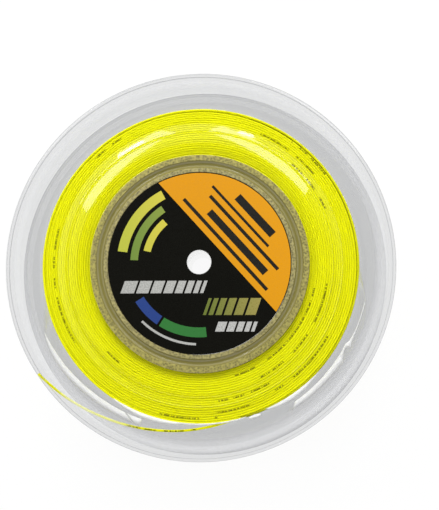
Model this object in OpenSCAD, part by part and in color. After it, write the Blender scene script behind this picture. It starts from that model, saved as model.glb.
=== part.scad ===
// Reel of racket string. Two equal clear mouldings meet in the middle and carry the string
// on their drum, a clear strip is wrapped round the turns, and a round label sits in the front hub.
// The reel lies on its rear rim with the bore upright: z = 0 is the rear rim, +z the front.

/* [Reel] */
// Diameter over the two rims
reel_d = 200; // [190:1:230]
// Width between the flanges at the drum
winding_w = 27; // [24:0.5:34]
// Outer diameter of the drum
drum_d = 112.6; // [108:0.2:118]
// Diameter of the bore for the spindle
bore_d = 12; // [8:0.5:16]

/* [Flanges] */
// Wall of the flanges and of the hub faces
wall_t = 1.6; // [1.2:0.1:2.2]
// Outward bow of a flange between the drum and the flare
flange_bow = 0.8; // [0.2:0.1:1.4]
// Width of the flare, measured along the radius
flare_w = 7; // [5:0.5:9]
// Rise of the flare above the bowed part
flare_h = 1.6; // [1:0.1:3]
// Width of the flat lip outside the flare
lip_w = 4; // [3:0.5:5]
// Rounding of the lip's outer edge
lip_round = 0.8; // [0.3:0.1:1.2]
// Height of the skirt that hangs from the lip, measured from the lip's top
skirt_h = 3; // [2.6:0.1:3.8]
// Thickness of the skirt
skirt_t = 1.4; // [1:0.1:2]

/* [Hub] */
// Wall of the drum
drum_t = 1.8; // [1.4:0.1:2.6]
// Wall of the tube round the bore
boss_t = 2.2; // [1.6:0.1:4]
// Diameter of the shallow seat for the label
seat_d = 95; // [80:0.5:97]
// Depth of the label's seat
seat_depth = 0.5; // [0.3:0.1:0.8]
// Middle diameter of the groove round the label's seat
groove_d = 103; // [102:0.2:104]
// Width of the groove at the surface
groove_w = 4; // [3:0.1:5]
// Depth of the groove
groove_depth = 1.2; // [0.6:0.1:1.5]
// Number of ribs in each half, every second one with a pin
rib_count = 6; // [4:2:12]
// Thickness of a rib
rib_t = 1.4; // [1:0.1:2]
// Depth of a rib below the hub face
rib_h = 5; // [3:0.5:8]

/* [Pins] */
// Diameter of the circle that the pins and sockets lie on
pin_circle_d = 66; // [40:1:84]
// Diameter of a pin
pin_d = 4; // [3:0.1:5]
// Length of a pin
pin_l = 6; // [4:0.5:9]
// Radial clearance of a pin in its socket
pin_clear = 0.05; // [0.03:0.01:0.15]
// Diameter of the post that carries a pin or a socket
post_d = 8; // [7:0.2:10]

/* [Label] */
// Thickness of the label
label_t = 0.2; // [0.1:0.05:0.3]
// Radial clearance of the label in its seat and round the bore
label_clear = 0.3; // [0.2:0.1:1]

/* [String] */
// Diameter of the string
string_d = 1.25; // [1.1:0.01:1.35]
// Diameter over the outermost turns
winding_d = 163.6; // [158:0.2:165]
// Turns that show on the front face of the winding
face_turns = 10; // [6:1:11]
// Turns that show round the outside of the winding
outer_turns = 12; // [6:1:12]
// Gap between the turns and what they lie beside
string_clear = 0.3; // [0.2:0.1:0.5]

/* [Strip] */
// Thickness of the clear strip
strip_t = 0.3; // [0.2:0.05:0.5]
// Gap between the strip and each flange
strip_side_clear = 1; // [0.5:0.1:4]
// Height to which the strip bulges off the turns near its ends
strip_bulge = 7.1; // [1:0.1:7.2]
// Angle that the strip leaves open for the free end of the string
strip_open_angle = 50; // [30:1:90]
// Length by which the slanted ends run out at the front edge
strip_slant = 9; // [0:0.5:15]

/* [Hidden] */
$fn = 180;

// Radii
rim_r = reel_d / 2;
drum_r = drum_d / 2;
bore_r = bore_d / 2;
boss_r = bore_r + boss_t;
lip_r = rim_r - lip_w;
flare_r = lip_r - flare_w;

// Heights, all measured from the rear rim
reel_h = winding_w + 2 * (wall_t + flange_bow + flare_h);
mid_z = reel_h / 2;
hub_z = reel_h - flare_h - flange_bow;
inner_z = hub_z - wall_t;
rear_inner_z = reel_h - inner_z;

// Ribs, pins and the angle of the axis about which one half turns over to make the other
rib_step = 360 / rib_count;
turn_over_angle = rib_step / 2;
pin_tip = 0.6;
socket_spare = 0.8;
seam_hole_clear = 0.25;

// How far a cut runs past what it cuts, and how far ribs and posts reach into the hub face
over = 1;
sink = 0.2;

// Steps of the curved outlines
bow_steps = 10;
flare_steps = 10;
round_steps = 5;

// The winding: layers, radii and heights of its turns
string_r = string_d / 2;
turn_gap = 0.45;
outer_turn_r = winding_d / 2 - string_r;
under_turn_r = outer_turn_r - string_d - turn_gap;
start_bend_r = 2;
seat_gap = 0.15;
first_turn_r = drum_r + seat_gap + string_d + start_bend_r;
front_turn_z = inner_z - string_clear - string_r;
rear_turn_z = rear_inner_z + string_clear + string_r;
core_gap = 0.85;
core_r = under_turn_r - string_r - core_gap;
core_front_z = front_turn_z - string_r - seat_gap;
all_turns = face_turns + 1 + outer_turns;
rings_per_turn = 24;
rings_beside = 4;
winding_sides = 6;
winding_end_angle = -75;

// The free end: points of its route, chosen by hand
end_sides = 8;
tail_route = [
    [19.8, -78.8, 30.1], [14.4, -80.6, 30.1], [8.8, -82.3, 30.1], [3.1, -83.6, 30.1],
    [-2.8, -84.6, 30.1], [-8.8, -85.2, 30.1], [-14.9, -85.3, 30.1], [-21.0, -85.0, 30.1],
    [-27.2, -84.3, 30.1], [-33.5, -83.2, 30.1], [-39.7, -81.6, 30.2], [-45.8, -79.6, 30.3],
    [-51.9, -77.2, 30.4], [-57.9, -74.4, 30.6], [-63.8, -71.1, 30.7], [-69.5, -67.4, 30.8],
    [-75.0, -63.2, 30.9], [-79.0, -59.8, 31.0], [-82.1, -56.9, 31.0]
];

// The inner end: an overhand knot inside the drum, and a stretch out through the seam hole
knot_w = 1.7;
knot_h = 1.3;
knot_place = 16;
knot_steps = 36;
knot_open_angle = 30;
knot_stub = 3;
knot_lead = [[-2.2, -4.9, -1], [-2, -6.8, -0.6], [-1.3, -8.8, -0.3], [-0.4, -10.8, -0.1], [0, -12.6, 0]];

// The strip
strip_steps = 104;
strip_bulge_angle = 38;
strip_rise_angle = 62;
strip_end_share = 0.8;
strip_open_middle = -85;
strip_cut_reach = 30;

// ---- Helpers ----

// Unit vector along v
function unit(v) = v / norm(v);

// Point at a radius, an angle and a height
function polar(r, a, z) = [r * cos(a), r * sin(a), z];

// Soft step from 0 to 1 as t runs from 0 to 1
function ease(t) = (1 - cos(180 * max(0, min(1, t)))) / 2;

// Direction of a path at its point i
function heading(path, i) =
    unit(path[min(i + 1, len(path) - 1)] - path[max(i - 1, 0)]);

// Smooth curve through the points, with one more point between each pair
function smooth_path(pts) = [
    for (i = [0 : len(pts) - 2])
        let (a = pts[max(i - 1, 0)], b = pts[i], c = pts[i + 1], d = pts[min(i + 2, len(pts) - 1)])
        each [b, (9 * (b + c) - a - d) / 16],
    pts[len(pts) - 1]
];

// Round tube of radius r along a path, as one closed body
module tube(path, r, sides) {
    rings = len(path);
    points = [
        for (i = [0 : rings - 1])
            let (ahead = heading(path, i), side = unit(cross(ahead, [0, 0, 1])), up = cross(side, ahead))
            for (k = [0 : sides - 1])
                path[i] + r * (cos(360 * k / sides) * side + sin(360 * k / sides) * up)
    ];
    walls = [
        for (i = [0 : rings - 2], k = [0 : sides - 1])
            let (a = i * sides + k, b = i * sides + (k + 1) % sides)
            each [[a, b, b + sides], [a, b + sides, a + sides]]
    ];
    last = (rings - 1) * sides;
    caps = [
        for (k = [1 : sides - 2])
            each [[0, k + 1, k], [last, last + k, last + k + 1]]
    ];
    polyhedron(points, concat(walls, caps));
}

// ---- Mouldings ----

// Height of the flange's outer face between the drum and the flare
function bow_z(r) = hub_z + flange_bow * pow(max(0, r - drum_r) / (flare_r - drum_r), 2);

// Outer face of the flange from the bore to the inside of the lip's rounding
flange_top = [
    [bore_r, hub_z],
    for (i = [0 : bow_steps])
        let (r = drum_r + (flare_r - drum_r) * i / bow_steps)
        [r, bow_z(r)],
    for (i = [1 : flare_steps])
        [flare_r + flare_w * i / flare_steps, hub_z + flange_bow + flare_h * ease(i / flare_steps)]
];

// Rounded edge of the lip, from its top to its side
lip_edge = [
    for (i = [0 : round_steps])
        let (a = 90 - 90 * i / round_steps)
        [rim_r - lip_round + lip_round * cos(a), reel_h - lip_round + lip_round * sin(a)]
];

// Section through a flange, with the hub face, the bowed part, the flare, the lip and its skirt
module flange_section() {
    polygon(concat(
        flange_top,
        lip_edge,
        [
            [rim_r, reel_h - skirt_h],
            [rim_r - skirt_t, reel_h - skirt_h],
            [rim_r - skirt_t, reel_h - wall_t]
        ],
        [for (i = [len(flange_top) - 1 : -1 : 0]) flange_top[i] - [0, wall_t]]
    ));
}

// Circle whose top cuts the surface at the groove's width and depth
groove_arc_r = (pow(groove_w / 2, 2) + pow(groove_depth, 2)) / (2 * groove_depth);
groove_arc_z = hub_z + groove_arc_r - groove_depth;

// Section through a half: flange, drum wall, tube round the bore and the groove with its bead
module half_section() {
    difference() {
        union() {
            flange_section();
            translate([drum_r - drum_t, mid_z])
                square([drum_t, hub_z - mid_z]);
            translate([bore_r, mid_z])
                square([boss_t, hub_z - mid_z]);
            intersection() {
                translate([groove_d / 2, groove_arc_z])
                    circle(r = groove_arc_r + wall_t);
                translate([seat_d / 2, mid_z])
                    square([drum_r - seat_d / 2, hub_z - mid_z]);
            }
        }
        translate([groove_d / 2, groove_arc_z])
            circle(r = groove_arc_r);
        translate([0, hub_z - seat_depth])
            square([seat_d / 2, seat_depth + over]);
    }
}

// Rib from the bore's tube to the drum wall, along +x
module rib() {
    translate([boss_r - boss_t / 2, -rib_t / 2, inner_z - rib_h])
        cube([drum_r - drum_t / 2 - boss_r + boss_t / 2, rib_t, rib_h + sink]);
}

// Post that stands from the hub face to the middle of the reel
module post() {
    translate([pin_circle_d / 2, 0, mid_z])
        cylinder(d = post_d, h = inner_z + sink - mid_z);
}

// Pin that enters the other half's socket, with a tapered tip
module pin() {
    translate([pin_circle_d / 2, 0, mid_z - pin_l + pin_tip])
        cylinder(d = pin_d, h = pin_l);
    translate([pin_circle_d / 2, 0, mid_z - pin_l])
        cylinder(d1 = pin_d - 2 * pin_tip, d2 = pin_d, h = pin_tip);
}

// Socket for the other half's pin
module socket() {
    translate([pin_circle_d / 2, 0, mid_z - over])
        cylinder(r = pin_d / 2 + pin_clear, h = over + pin_l + socket_spare);
}

// One half of the reel, in its place as the front half
module reel_half() {
    difference() {
        union() {
            rotate_extrude()
                half_section();
            for (i = [0 : rib_count - 1])
                rotate(i * rib_step) {
                    rib();
                    post();
                    if (i % 2 == 0)
                        pin();
                }
        }
        for (i = [1 : 2 : rib_count - 1])
            rotate(i * rib_step)
                socket();
        rotate(turn_over_angle)
            translate([drum_r - 2 * drum_t, 0, mid_z])
                rotate([0, 90, 0])
                    cylinder(r = string_r + seam_hole_clear, h = 3 * drum_t);
    }
}

module front_flange() {
    color("gainsboro", 0.35)
        reel_half();
}

// The same moulding turned over, so that its pins meet the front half's sockets
module rear_flange() {
    color("lightgray", 0.35)
        translate([0, 0, reel_h])
            rotate([180, 0, 2 * turn_over_angle])
                reel_half();
}

// ---- Label ----

module front_label() {
    color("black")
        translate([0, 0, hub_z - seat_depth])
            difference() {
                cylinder(r = seat_d / 2 - label_clear, h = label_t);
                translate([0, 0, -over])
                    cylinder(r = bore_r + label_clear, h = label_t + 2 * over);
            }
}

// ---- String ----

// The turns that lie under the outer layer, as one ring
module string_core() {
    color("gold")
        translate([0, 0, rear_inner_z + string_clear])
            difference() {
                cylinder(r = core_r, h = core_front_z - rear_inner_z - string_clear);
                translate([0, 0, -over])
                    cylinder(r = drum_r + seat_gap, h = winding_w);
            }
}

// Radius and height of the winding after u turns: out across the front face, back under
// the outer layer in one turn, then round the outside from the rear to the front
function turn_r(u) =
    u < face_turns ? first_turn_r + (under_turn_r - first_turn_r) * u / face_turns :
    under_turn_r + (outer_turn_r - under_turn_r) * ease((u - face_turns - 1) * 2);
function turn_z(u) =
    u < face_turns ? front_turn_z :
    u < face_turns + 1 ? front_turn_z + (rear_turn_z - front_turn_z) * ease(u - face_turns) :
    rear_turn_z + (front_turn_z - rear_turn_z) * (u - face_turns - 1) / outer_turns;
function turn_angle(u) = winding_end_angle + 360 * (all_turns - u);

// Straight start square to the drum, and its bend into the first turn
start_path = [
    for (p = [
        [0, 0],
        [string_d, 0],
        for (a = [30, 60])
            [string_d + start_bend_r * sin(a), start_bend_r * (1 - cos(a))]
    ])
        let (out = polar(1, turn_angle(0), 0), along = [out[1], -out[0], 0])
        (drum_r + seat_gap + p[0]) * out + (p[1] - start_bend_r) * along + [0, 0, front_turn_z]
];

// The turns, and a straight end that the free end carries on
turns_path = [
    for (i = [0 : rings_per_turn * all_turns])
        let (u = i / rings_per_turn)
        polar(turn_r(u), turn_angle(u), turn_z(u))
];
turns_end = turns_path[len(turns_path) - 1];
winding_path = concat(
    start_path,
    turns_path,
    [turns_end + string_d * [sin(winding_end_angle), -cos(winding_end_angle), 0]]
);

// Least distance between points at least one turn apart, less the string itself
function least_gap(path) =
    min([
        for (i = [0 : len(path) - rings_per_turn])
            min([for (j = [i + rings_per_turn - rings_beside : len(path) - 1]) norm(path[i] - path[j])])
    ]) - string_d;

module string_winding() {
    echo(winding_least_gap = least_gap(winding_path));
    color("yellow")
        tube(winding_path, string_r, winding_sides);
}

module string_tail() {
    color("yellow")
        tube(smooth_path(tail_route), string_r, end_sides);
}

// Overhand knot: a trefoil that is open at its outer lobe
function knot_point(a) = [
    knot_w * (sin(a) + 2 * sin(2 * a)),
    knot_w * (cos(a) - 2 * cos(2 * a)),
    -knot_h * sin(3 * a)
];
knot_path = [
    for (i = [0 : knot_steps])
        knot_point(180 + knot_open_angle + (360 - 2 * knot_open_angle) * i / knot_steps)
];
inner_end_path = concat(
    [knot_path[0] - knot_stub * unit(knot_path[1] - knot_path[0])],
    knot_path,
    knot_lead,
    [[0, -knot_place - seat_gap, 0]]
);

module string_inner_end() {
    color("yellow")
        rotate(turn_over_angle)
            translate([drum_r - knot_place, 0, mid_z])
                rotate(90)
                    tube(inner_end_path, string_r, end_sides);
}

// ---- Strip ----

// Share of the bulge at an angle that is counted from the nearer end of the strip
function strip_share(a) =
    a < strip_bulge_angle
        ? strip_end_share + (1 - strip_end_share) * ease(a / strip_bulge_angle)
        : 1 - ease((a - strip_bulge_angle) / (strip_rise_angle - strip_bulge_angle));
strip_angle = 360 - strip_open_angle;
strip_start = strip_open_middle + strip_open_angle / 2;
function strip_r(a) =
    winding_d / 2 + string_clear + strip_bulge * strip_share(min(a, strip_angle - a));
function strip_edge(outward) = [
    for (i = [0 : strip_steps])
        let (a = strip_angle * i / strip_steps, r = strip_r(a) + outward)
        [r * cos(strip_start + a), r * sin(strip_start + a)]
];
strip_w = winding_w - 2 * strip_side_clear;

// Wedge that slants an end of the strip
module strip_end_cut(angle, way) {
    rotate(angle)
        translate([rim_r - strip_cut_reach, 0, rear_inner_z + strip_side_clear])
            rotate([90, 0, 90])
                linear_extrude(height = strip_cut_reach)
                    polygon([
                        [-over * way, -over],
                        [strip_slant * way, -over],
                        [strip_slant * way, 0],
                        [0, strip_w],
                        [-over * way, strip_w]
                    ]);
}

module retaining_strip() {
    color("whitesmoke", 0.4)
        difference() {
            translate([0, 0, rear_inner_z + strip_side_clear])
                linear_extrude(height = strip_w)
                    polygon(concat(
                        strip_edge(strip_t),
                        [for (p = [strip_steps : -1 : 0]) strip_edge(0)[p]]
                    ));
            strip_end_cut(strip_start, 1);
            strip_end_cut(strip_start + strip_angle, -1);
        }
}

front_flange();
rear_flange();
front_label();
string_core();
string_winding();
string_tail();
string_inner_end();
retaining_strip();
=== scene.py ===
import math

import bmesh
import bpy
from mathutils import Matrix, Vector


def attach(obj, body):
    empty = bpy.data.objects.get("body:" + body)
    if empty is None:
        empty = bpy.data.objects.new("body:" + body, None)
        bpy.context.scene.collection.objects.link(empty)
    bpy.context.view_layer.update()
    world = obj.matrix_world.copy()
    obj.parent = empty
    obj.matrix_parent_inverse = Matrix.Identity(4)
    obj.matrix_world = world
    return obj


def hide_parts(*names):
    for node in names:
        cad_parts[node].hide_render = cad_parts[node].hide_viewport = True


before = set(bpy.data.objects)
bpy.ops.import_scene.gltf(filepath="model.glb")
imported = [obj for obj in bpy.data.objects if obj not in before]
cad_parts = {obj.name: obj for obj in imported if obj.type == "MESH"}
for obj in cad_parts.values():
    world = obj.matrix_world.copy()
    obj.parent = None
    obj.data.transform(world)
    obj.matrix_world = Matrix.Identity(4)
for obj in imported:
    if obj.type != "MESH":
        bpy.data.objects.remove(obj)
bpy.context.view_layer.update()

scene = bpy.context.scene
mm = 0.001

# Radii and heights that several pieces share
reel = {
    "drum": 56.3 * mm,
    "grooveMiddle": 51.5 * mm,
    "middle": 17.5 * mm,
    "frontTurn": 30.075 * mm,
    "rearTurn": 4.925 * mm,
    "string": 1.25 * mm,
}


def addObject(name, mesh):
    made = bpy.data.objects.new(name, mesh)
    scene.collection.objects.link(made)
    return made


def meshFrom(name, points, faces, sharpAngle=35):
    mesh = bpy.data.meshes.new(name)
    mesh.from_pydata([tuple(p) for p in points], [], faces)
    mesh.shade_smooth()
    mesh.set_sharp_from_angle(angle=math.radians(sharpAngle))
    return mesh


def polar(radius, angle, height):
    return Vector((radius * math.cos(angle), radius * math.sin(angle), height))


def latheMesh(name, outline, steps, sharpAngle=35):
    # A closed outline of (radius, height) turned round the bore, counter-clockwise in the section
    count = len(outline)
    points = [polar(r, 2 * math.pi * s / steps, z) for s in range(steps) for r, z in outline]
    faces = []
    for s in range(steps):
        for k in range(count):
            a, b = s * count + k, s * count + (k + 1) % count
            c, d = ((s + 1) % steps) * count + (k + 1) % count, ((s + 1) % steps) * count + k
            faces.append((a, d, c, b))
    return meshFrom(name, points, faces, sharpAngle)


def smoothPath(points, rounds=1):
    # One more point between each pair, on a smooth curve through them all
    for _ in range(rounds):
        finer = []
        for i in range(len(points) - 1):
            a, b = points[max(i - 1, 0)], points[i]
            c, d = points[i + 1], points[min(i + 2, len(points) - 1)]
            finer += [b, (9 * (b + c) - a - d) / 16]
        points = finer + [points[-1]]
    return points


def tubeMesh(name, path, radius, sides, run=0.0):
    # Round tube along a path, with its run and its side kept as attributes
    points, runs, around = [], [], []
    for i, p in enumerate(path):
        ahead = (path[min(i + 1, len(path) - 1)] - path[max(i - 1, 0)]).normalized()
        side = ahead.cross(Vector((0, 0, 1))).normalized()
        up = side.cross(ahead)
        run += (p - path[i - 1]).length if i else 0
        for k in range(sides):
            turn = 2 * math.pi * k / sides
            points.append(p + radius * (math.cos(turn) * side + math.sin(turn) * up))
            runs.append(run)
            around.append(k / sides)
    faces = []
    for i in range(len(path) - 1):
        for k in range(sides):
            a, b = i * sides + k, i * sides + (k + 1) % sides
            faces.append((a, b, b + sides, a + sides))
    last = (len(path) - 1) * sides
    faces.append(tuple(reversed(range(sides))))
    faces.append(tuple(last + k for k in range(sides)))
    mesh = meshFrom(name, points, faces, 50)
    mesh.attributes.new("stringRun", "FLOAT", "POINT").data.foreach_set("value", runs)
    mesh.attributes.new("stringSide", "FLOAT", "POINT").data.foreach_set("value", around)
    return mesh


def mergedCopy(name, nodeName, reach=0.002 * mm, sharpAngle=28):
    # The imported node's mesh with its loose triangles joined and its round faces smooth
    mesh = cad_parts[nodeName].data.copy()
    mesh.name = name
    work = bmesh.new()
    work.from_mesh(mesh)
    bmesh.ops.remove_doubles(work, verts=work.verts, dist=reach)
    work.to_mesh(mesh)
    work.free()
    if "custom_normal" in mesh.attributes:
        mesh.attributes.remove(mesh.attributes["custom_normal"])
    mesh.shade_smooth()
    mesh.set_sharp_from_angle(angle=math.radians(sharpAngle))
    mesh.materials.clear()
    return mesh


def addNode(tree, kind, inputs=None, **settings):
    made = tree.nodes.new(kind)
    for key, value in settings.items():
        setattr(made, key, value)
    for key, value in (inputs or {}).items():
        if isinstance(value, bpy.types.NodeSocket):
            tree.links.new(value, made.inputs[key])
        else:
            made.inputs[key].default_value = value
    return made


def maths(tree, operation, *values, clamp=False):
    made = addNode(tree, "ShaderNodeMath", dict(enumerate(values)), operation=operation, use_clamp=clamp)
    return made.outputs[0]


def mapRange(tree, value, low, high, toLow=0.0, toHigh=1.0, kind="LINEAR"):
    made = addNode(tree, "ShaderNodeMapRange", {
        "Value": value, "From Min": low, "From Max": high, "To Min": toLow, "To Max": toHigh,
    }, interpolation_type=kind)
    return made.outputs["Result"]


def newMaterial(name):
    material = bpy.data.materials.new(name)
    material.use_nodes = True
    material.node_tree.nodes.clear()
    return material, material.node_tree


def finishMaterial(tree, shader):
    addNode(tree, "ShaderNodeOutputMaterial", {"Surface": shader})


def objectPoint(tree):
    return addNode(tree, "ShaderNodeTexCoord").outputs["Object"]


def radiusOf(tree, point):
    apart = addNode(tree, "ShaderNodeSeparateXYZ", {0: point})
    flat = addNode(tree, "ShaderNodeCombineXYZ", {0: apart.outputs[0], 1: apart.outputs[1]})
    return addNode(tree, "ShaderNodeVectorMath", {0: flat.outputs[0]}, operation="LENGTH").outputs["Value"]


def noiseOf(tree, point, scale, detail=2.0, roughness=0.5, **settings):
    inputs = {"Scale": scale, "Detail": detail, "Roughness": roughness}
    if point is not None:
        inputs["Vector"] = point
    made = addNode(tree, "ShaderNodeTexNoise", inputs, **settings)
    return made.outputs["Fac"]


def mixColour(tree, share, first, second, blend="MIX"):
    inputs = {0: share, 6: first, 7: second}
    made = addNode(tree, "ShaderNodeMix", inputs, data_type="RGBA", blend_type=blend)
    return made.outputs[2]


def zone(tree, value, low, high, soft):
    # 1 between low and high, with soft edges
    rise = mapRange(tree, value, low - soft, low + soft)
    fall = mapRange(tree, value, high - soft, high + soft, 1.0, 0.0)
    return maths(tree, "MULTIPLY", rise, fall)


camera = {
    "place": Vector((30, -50, 430)) * mm,
    "aim": Vector((10.6, 3.3, 34.4)) * mm,
    "lens": 55.2,
}


def addCamera():
    data = bpy.data.cameras.new("camera")
    data.lens = camera["lens"]
    data.clip_start = 0.01
    made = bpy.data.objects.new("camera", data)
    scene.collection.objects.link(made)
    ahead = (camera["aim"] - camera["place"]).normalized()
    right = ahead.cross(Vector((0, 1, 0))).normalized()
    up = right.cross(ahead)
    made.matrix_world = Matrix((
        (right.x, up.x, -ahead.x, camera["place"].x),
        (right.y, up.y, -ahead.y, camera["place"].y),
        (right.z, up.z, -ahead.z, camera["place"].z),
        (0, 0, 0, 1),
    ))
    scene.camera = made


addCamera()

freeEnd = {
    "length": 0.1102,
    "sides": 12,
    "firstRun": -200 * mm,
    "printFrom": -178 * mm,
    "printTo": -138 * mm,
    "route": [
        (19.8, -78.8, 30.1), (14.4, -80.6, 30.1), (8.8, -82.3, 30.1), (3.1, -83.6, 30.1),
        (-2.8, -84.6, 30.1), (-8.8, -85.2, 30.1), (-14.9, -85.3, 30.1), (-21.0, -85.0, 30.1),
        (-27.2, -84.3, 30.1), (-33.5, -83.2, 30.1), (-39.7, -81.6, 30.2), (-45.8, -79.6, 30.3),
        (-51.9, -77.2, 30.4), (-57.9, -74.4, 30.6), (-63.8, -71.1, 30.7), (-69.5, -67.4, 30.8),
        (-75.0, -63.2, 30.9), (-79.0, -59.8, 31.0), (-82.1, -56.9, 31.0),
    ],
}


def addFreeEnd():
    path = smoothPath([Vector(p) * mm for p in freeEnd["route"]], 2)
    made = addObject("freeStringEnd", tubeMesh(
        "freeStringEnd", path, reel["string"] / 2, freeEnd["sides"], freeEnd["firstRun"]))
    return made, path


freeStringEnd, freePath = addFreeEnd()
print("camera and free end made")

winding = {
    "faceTurns": 20,
    "outerTurns": 21,
    "rearTurns": 18,
    "pointsPerTurn": 150,
    "sides": 8,
    "firstRadius": 57.2 * mm,
    "underRadius": 80.2 * mm,
    "outerRadius": 81.4 * mm,
    "rearLastRadius": 77.6 * mm,
    "endAngle": math.radians(-75),
    "wander": 0.2 * mm,
    "sink": 0.1 * mm,
    "hubDip": 0.6 * mm,
    "seed": 7.3,
    "rearSeed": 12.3,
}
# How the string crosses over and drifts as it is wound, in turns and in shares
drift = {
    "crossFrom": 0.55,
    "crossStart": 0.02,
    "crossEase": 0.15,
    "stepTurns": 0.5,
    "together": (0.9, 0.35),
    "alone": (1.2, 3.1),
    "togetherShare": 1.4,
    "outwards": 2.0,
    "downwards": 4.0,
    "firstTurns": 0.3,
    "lastTurns": 0.5,
    "calmFrom": 0.9,
    "calmShare": 0.25,
    "hubShare": 0.25,
}
# How much farther out each turn on the front face lies than the one before
turnStep = (winding["underRadius"] - winding["firstRadius"]) / winding["faceTurns"]

yarn = {
    "bright": (0.94, 0.94, 0.004, 1),
    "deep": (0.84, 0.83, 0.003, 1),
    "ink": (0.07, 0.07, 0.003, 1),
    "printPeriod": 437 * mm,
    "printLength": 44 * mm,
    "wordLength": 9 * mm,
    "wordEdge": (0.40, 0.44),
    "letterLength": 0.9 * mm,
    "letterEdge": (0.38, 0.46),
    "inkWidth": 0.078,
    "inkShare": 0.82,
    "toneLength": 260 * mm,
    "patchLength": 700 * mm,
    "patchEdge": (0.42, 0.5),
    "toneEdge": (0.4, 0.75),
    "glow": 0.7,
    "glowDepth": 1.2 * mm,
    "glowColours": (1.0, 1.0, 0.3),
    "roughness": (0.24, 0.36),
    "specular": 0.09,
    "dentDepth": 0.05 * mm,
}
# Where the print shows on the front face: radius of the turn, then start and end angle
facePrint = [
    (60.1, 286, 347), (65.8, 298, 352), (65.8, 224, 232), (70.9, 278, 300), (70.9, 22, 47),
    (75.6, 298, 330), (75.6, 165, 213), (75.6, 34, 65), (76.9, 275, 290), (79.5, 255, 277),
    (79.5, 35, 53), (78.3, 120, 135),
]


def alongString(tree, run, length, detail=0.0):
    # Noise along the string only
    made = noiseOf(tree, None, 1.0, detail, noise_dimensions="1D")
    tree.links.new(maths(tree, "DIVIDE", run, length), made.node.inputs["W"])
    return made


def runAt(turn):
    # Length of string on the front face up to this turn
    return 2 * math.pi * (winding["firstRadius"] * turn + turnStep * turn ** 2 / 2)


def printRuns():
    # Start and end of each printed stretch along the string
    runs = [(freeEnd["printFrom"], freeEnd["printTo"])]
    for radius, start, end in facePrint:
        turn = (radius * mm - winding["firstRadius"]) / turnStep
        part = (math.degrees(winding["endAngle"]) - end) / 360 % 1
        turn = round(turn - part) + part
        runs.append((runAt(turn), runAt(turn + (end - start) / 360)))
    return runs


def stringMaterial():
    material, tree = newMaterial("yellowString")
    point = objectPoint(tree)
    run = addNode(tree, "ShaderNodeAttribute", attribute_name="stringRun").outputs["Fac"]
    side = addNode(tree, "ShaderNodeAttribute", attribute_name="stringSide").outputs["Fac"]
    tone = alongString(tree, run, yarn["toneLength"], 1.0)
    base = mixColour(tree, mapRange(tree, tone, *yarn["toneEdge"]), yarn["bright"], yarn["deep"])
    # Print on the string's upper and lower side: repeated round the outside, and in stretches on the faces
    phase = maths(tree, "FRACT", maths(tree, "DIVIDE", run, yarn["printPeriod"]))
    share = yarn["printLength"] / yarn["printPeriod"]
    inLine = mapRange(tree, phase, share - 0.002, share, 1.0, 0.0)
    patches = mapRange(tree, alongString(tree, run, yarn["patchLength"]), *yarn["patchEdge"])
    inLine = maths(tree, "MULTIPLY", inLine, patches)
    inLine = maths(tree, "MULTIPLY", inLine, maths(tree, "GREATER_THAN", run, runAt(winding["faceTurns"])))
    for start, end in printRuns():
        inLine = maths(tree, "MAXIMUM", inLine, zone(tree, run, start, end, 0.1 * mm))
    inWord = mapRange(tree, alongString(tree, run, yarn["wordLength"]), *yarn["wordEdge"])
    inLetter = mapRange(tree, alongString(tree, run, yarn["letterLength"]), *yarn["letterEdge"])
    off = maths(tree, "ABSOLUTE", maths(tree, "SUBTRACT", maths(
        tree, "ABSOLUTE", maths(tree, "SUBTRACT", side, 0.5)), 0.25))
    onSide = mapRange(tree, off, yarn["inkWidth"], yarn["inkWidth"] * 1.5, 1.0, 0.0)
    ink = maths(tree, "MULTIPLY", maths(tree, "MULTIPLY", onSide, inLine), maths(
        tree, "MULTIPLY", inWord, inLetter))
    colour = mixColour(tree, maths(tree, "MULTIPLY", ink, yarn["inkShare"]), base, yarn["ink"])
    fine = noiseOf(tree, point, 900.0, 2.0)
    bump = addNode(tree, "ShaderNodeBump", {"Strength": 0.05, "Distance": yarn["dentDepth"], "Height": fine})
    shader = addNode(tree, "ShaderNodeBsdfPrincipled", {
        "Base Color": colour, "Roughness": mapRange(tree, fine, 0.3, 0.7, *yarn["roughness"]),
        "IOR": 1.5, "Specular IOR Level": yarn["specular"], "Normal": bump.outputs[0],
        "Subsurface Weight": yarn["glow"], "Subsurface Scale": yarn["glowDepth"],
        "Subsurface Radius": yarn["glowColours"],
    })
    finishMaterial(tree, shader.outputs[0])
    return material


yellowString = stringMaterial()
freeStringEnd.data.materials.append(yellowString)
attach(freeStringEnd, "root")
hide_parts("string_tail")


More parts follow.
